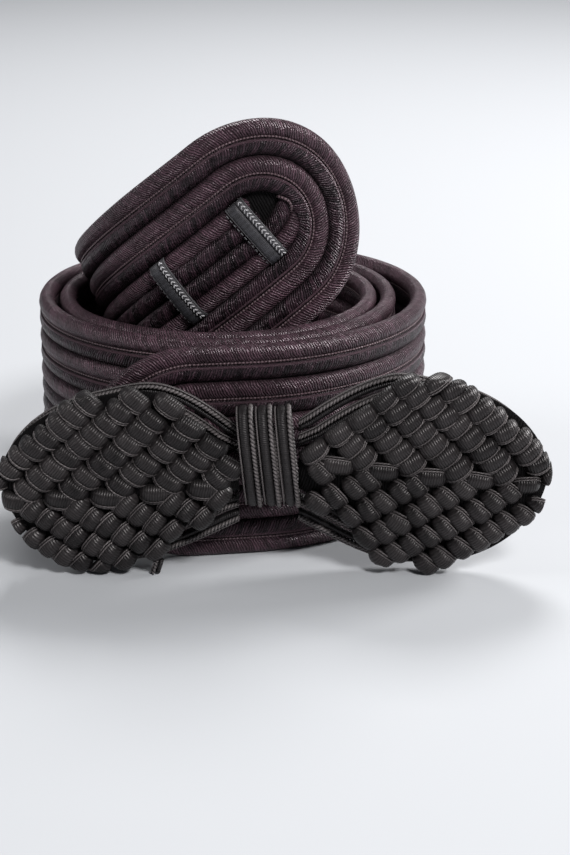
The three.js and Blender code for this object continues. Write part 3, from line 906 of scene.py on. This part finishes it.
def weave(leaf):
    """The leaf's front: an arched stretch of wound braid at each place, with two thin cords along
    the side that faces the fold.

    With u from -1 to 1, a bump's line is centre + long way * half length * u + outward * (crest -
    half depth - arch * |u|^2.5). Its section shrinks to its ends as (1 - u^4)^0.5, and its threads
    are a relief of |sine|^0.7 in u and the turn round the section.
    """
    random = np.random.default_rng(leaf["seed"])
    share, height, side, size, level = bump_places(leaf)
    count = len(share)
    share = share + random.normal(0, SCATTER_ALONG, count) / leaf["length"]
    height = height + random.normal(0, SCATTER_UP, count)
    tilt = np.where(side > 0, leaf["tilt_above"], leaf["tilt_below"])
    tilt = np.where(level, LEVEL_BUMP_TILT, tilt) + random.normal(0, TILT_SCATTER, count)
    centre, *ways = bump_frame(leaf, share, height, side, tilt)
    near_tip = (SHRINKS_FROM, 1.0)
    size = size * random.normal(1, SIZE_SCATTER, count)
    size = size * np.interp(share, near_tip, (1.0, TIP_SIZE))
    girth = random.normal(1, SIZE_SCATTER, count) * np.interp(share, near_tip, (1.0, TIP_GIRTH))
    u = np.linspace(-1, 1, 4 * THREADS_ON_BUMP + 1)
    lift = BUMP_CREST - BUMP_HALF_DEPTH - BUMP_ARCH * np.abs(u) ** 2.5
    reach = BUMP_LENGTH / 2 * u * size[:, None]
    line = carry(centre, (ways[0], ways[2]), (reach, lift[None]))
    section = np.clip(1 - u ** 4, THINNEST, 1) ** 0.5 * girth[:, None]
    threads = THREADS_ON_BUMP * (u + 1) / 2 * size[:, None] + random.uniform(0, 9, (count, 1))
    turn = np.arange(BUMP_COLUMNS) / BUMP_COLUMNS
    relief = thread_relief(threads[:, :, None] + 2 * turn, THREAD_RELIEF, 0.7)
    shapes = [tubes(
        line, ways[1][:, None], ways[2][:, None], BUMP_HALF_WIDTH * section,
        BUMP_HALF_DEPTH * section, columns=BUMP_COLUMNS, relief=relief, along=threads,
        tone=random.uniform(0, BRIGHTEST_BUMP, count),
    )]
    shapes += edge_cords(centre, ways, size, girth, random)
    for shape in shapes:
        shape["points"] = fold_over_rim(leaf, shape["points"])
    return shapes


def fold_over_rim(leaf, points):
    """Points past the leaf's outline go back round its rim. With r the distance from the widest
    place as a share of the outline's, and s the part of r over 1, flattened as reach * tanh(s /
    reach), a point comes in to 1 + bulge * s and moves back by drop * s."""
    share = leaf["side"] * (points[:, 0] - leaf_x(leaf, 0)) / leaf["length"]
    rise = points[:, 2] - leaf["middle"]
    ratio, peak = rim_ratio(leaf, share, points[:, 2])
    over = RIM_REACH * np.tanh(np.clip(ratio - 1, 0, None) / RIM_REACH)
    shrink = (1 + RIM_BULGE * over) / np.maximum(ratio, 1)
    share = np.where(share > peak, peak + (share - peak) * shrink, share)
    height = np.maximum(leaf["middle"] + rise * shrink, FLOOR_GAP)
    return np.stack([leaf_x(leaf, share), points[:, 1] + RIM_DROP * over, height], -1)


def edge_cords(centre, ways, size, girth, random):
    """The two thin cords beside each bump: shallow arches along its side."""
    u = np.linspace(-1, 1, 15)
    shapes = []
    for beside, low in EDGE_CORDS:
        reach = (BUMP_LENGTH / 2 - EDGE_CORD_SHORTER) * u * size[:, None]
        out = (BUMP_HALF_WIDTH + beside) * girth[:, None] - EDGE_CORD_BOW * np.abs(u) ** 3
        lift = (BUMP_CREST - low - EDGE_CORD_ARCH * BUMP_ARCH * np.abs(u) ** 2.4)[None]
        line = carry(centre, ways, (reach, out, lift))
        # Painted highlight at a random strength on each cord
        tone = random.uniform(*EDGE_CORD_HIGHLIGHT_TONES, len(centre))
        across, up = ways[1][:, None], ways[2][:, None]
        shapes.append(tubes(line, across, up, EDGE_CORD_HALF, EDGE_CORD_HALF, tone=tone))
    return shapes


def leaf_core(leaf):
    """The braid under the bumps, near black as painted shade for the spaces between them: an oval
    section carried from the knot to the leaf's tip, with its rows gathered at the tip."""
    share = 1 - np.linspace(1, 0.004, CORE_ROWS) ** 1.8
    top = leaf_half(leaf, share, True) - bare_frame(leaf, share, True)
    bottom = leaf_half(leaf, share, False) - bare_frame(leaf, share, False)
    half = np.maximum((top + bottom) / 2 - CORE_INSET, 0.02)
    middle = leaf["middle"] + (top - bottom) / 2
    depth = leaf_depth(leaf, share, middle) + WEAVE_THICKNESS - CORE_SUNK
    back = BOW_Y - FRAME_CORD_THICKNESS - GAP - CORE_BACK
    centre = np.stack([leaf_x(leaf, share), np.full(CORE_ROWS, back), middle], -1)
    return tube(centre, UP, FRONT, half, np.minimum(depth, half), columns=48)


def flat_braid(line, side, rise, width, thickness, parts, ring=False):
    """A flat braid: a tube for each of its parts, carried along the line. The beads are a part
    whose size is |sine| of the distance along in beads plus a slant round it, so that each bead
    is one thread."""
    side, rise = (np.broadcast_to(way, line.shape) for way in (side, rise))
    if ring:
        line, side, rise = (np.concatenate([a, a[:1]]) for a in (line, side, rise))
    distance = distances(line)
    bead_count = round(distance[-1] / BEAD_PITCH)
    shapes = []
    for part in parts:
        rows = ROWS_PER_BEAD * bead_count if part["beads"] else int(distance[-1])
        share = np.arange(rows + 1) / rows if ring else np.linspace(0, 1, rows)
        threads = share * bead_count * (1 if part["beads"] else 2)
        share = share[:rows]
        way = share * distance[-1]
        centre, out, up = (read_line(way, distance, a) for a in (line, side, rise))
        half = part["half"] * width
        depth = min(2.2 * half, thickness / 2)
        slant = BEAD_SLANT * np.arange(BRAID_COLUMNS) / BRAID_COLUMNS
        beads = thread_relief(bead_count * share[:, None] + slant, BEAD_RELIEF, 0.8) * part["beads"]
        shapes.append(tube(
            centre + out * part["at"] * width + up * (part["height"] * thickness - depth),
            out, up, half, depth, columns=BRAID_COLUMNS, ring=ring, relief=beads[None],
            tone=part["tone"], along=threads[None] / THREADS_PER_MM,
        ))
    return shapes


def frame_cord(leaf, inset):
    """The line of one braid of a leaf's frame, from the top of the knot round the leaf's tip to
    the bottom of the knot, a set distance inside the outline, and a little more where the weave
    covers it."""
    way = np.linspace(1, -1, 121)
    share = 1 - np.abs(way) ** 1.7
    height = leaf["middle"] + np.sign(way) * leaf_half(leaf, share, way > 0)
    outline = np.stack([leaf_x(leaf, share), np.full_like(way, BOW_Y), height], -1)
    heading = unit(np.gradient(outline, axis=0))
    heading[0] = (leaf["side"], 0, 0)
    heading[-1] = (-leaf["side"], 0, 0)
    inwards = np.stack([heading[:, 2], np.zeros_like(way), -heading[:, 0]], -1) * leaf["side"]
    inset = inset + leaf["frame_tucked"] * smooth_step(share, TUCKED_FROM, TUCKED_TO)
    return flat_braid(
        outline + inwards * inset[:, None], inwards, FRONT, FRAME_CORD_WIDTH,
        FRAME_CORD_THICKNESS, FRAME_PARTS,
    )


def bow():
    """The two leaves with their frames."""
    for name, leaf in LEAVES.items():
        build(f"{name}_weave", weave(leaf), WEAVE, "charcoal_braid", name)
        build(f"{name}_core", [leaf_core(leaf)], SHADE, "charcoal_braid", name)
        for place, inset in FRAME_INSETS.items():
            node = f"{name}_cord_{place}"
            build(f"{node}_braid", frame_cord(leaf, inset), CHARCOAL, "charcoal_braid", node)
    build("leaf_left_braid_end", cut_end(), CHARCOAL, "charcoal_braid", "leaf_left")


def cut_end():
    """The short cut end of a braid that hangs below the left leaf's weave."""
    line = CUT_END + np.linspace(0, 1, 12)[:, None] * CUT_END_WAY
    return flat_braid(line, RIGHT, FRONT, CUT_END_WIDTH, CUT_END_THICKNESS, FRAME_PARTS)


def knot():
    """The turns of flat braid round the gathered cords, each an upright flat oval. They lean a
    little, with their lower ends to the right."""
    angle = 2 * np.pi * np.arange(KNOT_ROWS) / KNOT_ROWS
    depth_way, height_way = (
        np.sign(wave) * np.abs(wave) ** KNOT_ROUNDING for wave in (np.cos(angle), np.sin(angle))
    )
    middle = KNOT_BACK - KNOT_DEPTH / 2
    turn_width = KNOT_WIDTH / KNOT_TURNS
    shapes = []
    for turn in range(KNOT_TURNS):
        x = KNOT_X + (turn - (KNOT_TURNS - 1) / 2) * turn_width
        x = x - KNOT_LEAN * height_way * KNOT_HEIGHT / 2
        y = middle + (KNOT_DEPTH / 2 - KNOT_THICKNESS) * depth_way
        z = KNOT_Z + (KNOT_HEIGHT / 2 - KNOT_THICKNESS) * height_way
        line = np.stack([x, y, z], -1)
        heading = unit(np.roll(line, -1, 0) - np.roll(line, 1, 0))
        rise = unit(np.cross(heading, RIGHT))
        outward = np.stack([np.zeros(KNOT_ROWS), depth_way, height_way], -1)
        rise = rise * np.sign(np.sum(rise * outward, axis=1, keepdims=True))
        shapes += flat_braid(
            line, RIGHT, rise, turn_width - KNOT_TURN_GAP, KNOT_THICKNESS, KNOT_PARTS, ring=True,
        )
    build("knot_turns", shapes, CHARCOAL, "charcoal_braid", "knot")


def keeper(name, from_tip):
    """A short braid across the middle of the tongue: a flat face, a ridge of stitches and a thin
    edge, swelling a little in its middle and dipping at its ends."""
    share = np.linspace(-0.5, 0.5, KEEPER_ROWS)
    along = np.full(KEEPER_ROWS, BAND_LENGTH - from_tip)
    height = KEEPER_SEAT + KEEPER_SWELL * (1 - 4 * share ** 2)
    height = height - KEEPER_DIP * (2 * np.abs(share)) ** 10
    line = band_point(along, share * KEEPER_SPAN, height)
    outward = unit(band_frame(along)[2])
    side = unit(np.cross(unit(np.gradient(line, axis=0)), outward))
    towards_tip = band_point(along + 1, share * KEEPER_SPAN, height) - line
    side = side * np.sign(np.sum(side * towards_tip))
    shapes = [
        tube(line + side * at + outward * rise, side, outward, half, depth, **more)
        for at, rise, half, depth, more in KEEPER_PARTS
    ]
    shapes += stitches(line, side, outward)
    shapes.append(dashes(line, side, outward))
    build(f"{name}_braid", shapes, KEEPER, "keeper_braid", name)


def stitches(line, side, outward):
    """The two rows of bright stitches on a keeper's ridge, which lean against each other."""
    at = np.linspace(0.04, 0.96, STITCHES) * (KEEPER_ROWS - 1)
    base, way, up = (read_line(at, np.arange(KEEPER_ROWS), a) for a in (line, side, outward))
    ahead = unit(np.cross(up, way))
    u = np.linspace(-1, 1, 9)
    half = STITCH_HALF * np.sqrt(BLUNT - u ** 2)[None]
    shapes = []
    for lean, middle in zip((STITCH_LEAN, -STITCH_LEAN), STITCH_ROWS):
        offsets = (middle + STITCH_ACROSS * u, lean * u, STITCH_HEIGHT - STITCH_BOW * u ** 2)
        stitch = carry(base, (way, ahead, up), offsets)
        shapes.append(tubes(
            stitch, ahead[:, None], up[:, None], half, half, tone=1.0, hollow=(0.0, 0.0),
        ))
    return shapes


def dashes(line, side, outward):
    """The row of short stitches on the band beside a keeper."""
    at = np.linspace(0.05, 0.95, 5 * DASHES).reshape(DASHES, 5)[:, :4] * (KEEPER_ROWS - 1)
    base, way, up = (read_line(at, np.arange(KEEPER_ROWS), a) for a in (line, side, outward))
    centres = base - way * DASH_AT - up * DASH_SUNK
    return tubes(centres, way, up, DASH_HALF, DASH_HALF, tone=0.5)


def paint_hook():
    """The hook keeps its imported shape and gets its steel."""
    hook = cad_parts["hook"]
    hook.data.materials.clear()
    hook.data.materials.append(steel())


# The stage

def floor():
    """A wide pale floor under the belt."""
    mesh = bpy.data.meshes.new("floor")
    half = 3.0
    corners = [(-half, -half, 0), (half, -half, 0), (half, half, 0), (-half, half, 0)]
    mesh.from_pydata(corners, [], [(0, 1, 2, 3)])
    material, _, shader = new_material("pale floor")
    shader.inputs["Base Color"].default_value = (0.50, 0.51, 0.53, 1.0)
    shader.inputs["Roughness"].default_value = 0.7
    mesh.materials.append(material)
    stage = new_object("floor", mesh)


def soft_light(name, place, aim, size, power):
    """A square area light at a place, turned to a point, in metres."""
    data = bpy.data.lights.new(name, "AREA")
    data.energy = power
    data.size = size
    light = new_object(name, data)
    place, aim = np.array(place), np.array(aim)
    way = aim - place
    flat = np.hypot(way[0], way[1])
    light.location = place
    light.rotation_euler = Euler((np.arctan2(flat, -way[2]), 0, np.arctan2(-way[0], way[1])))


def studio():
    """Soft light from above and behind, a rim light from the right, a weak fill from the left and
    a dim surround."""
    world = bpy.data.worlds.new("surround")
    world.use_nodes = True
    background = world.node_tree.nodes["Background"].inputs
    background["Color"].default_value = (0.62, 0.66, 0.72, 1.0)
    background["Strength"].default_value = 0.12
    bpy.context.scene.world = world
    bpy.context.scene.view_settings.view_transform = "Standard"
    aim = (0.0, 0.0, 0.04)
    soft_light("front top", (0.45, -0.85, 0.95), aim, 0.32, 14.0)
    soft_light("back top", (0.1, 0.8, 0.9), aim, 0.4, 10.0)
    soft_light("right rim", (0.8, 0.3, 0.45), aim, 0.3, 8.0)
    soft_light("left fill", (-0.95, -0.1, 0.6), aim, 0.5, 3.5)


def camera():
    """The photograph's view: in front of the bow and above it, looking along +y and down."""
    data = bpy.data.cameras.new("camera")
    data.lens = LENS
    data.sensor_fit = "VERTICAL"
    data.sensor_height = SENSOR
    data.clip_start = 0.01
    view = new_object("camera", data)
    view.location = (CAMERA_PLACE + FRAME_ORIGIN) * MM
    view.rotation_euler = Euler((np.radians(90 - CAMERA_DOWN), 0, 0))
    bpy.context.scene.camera = view


camera()
studio()
floor()
belt_band()
bow()
knot()
keeper("keeper_tip", KEEPER_FROM_TIP)
keeper("keeper_inner", KEEPER_FROM_TIP + KEEPER_SPACING)
paint_hook()
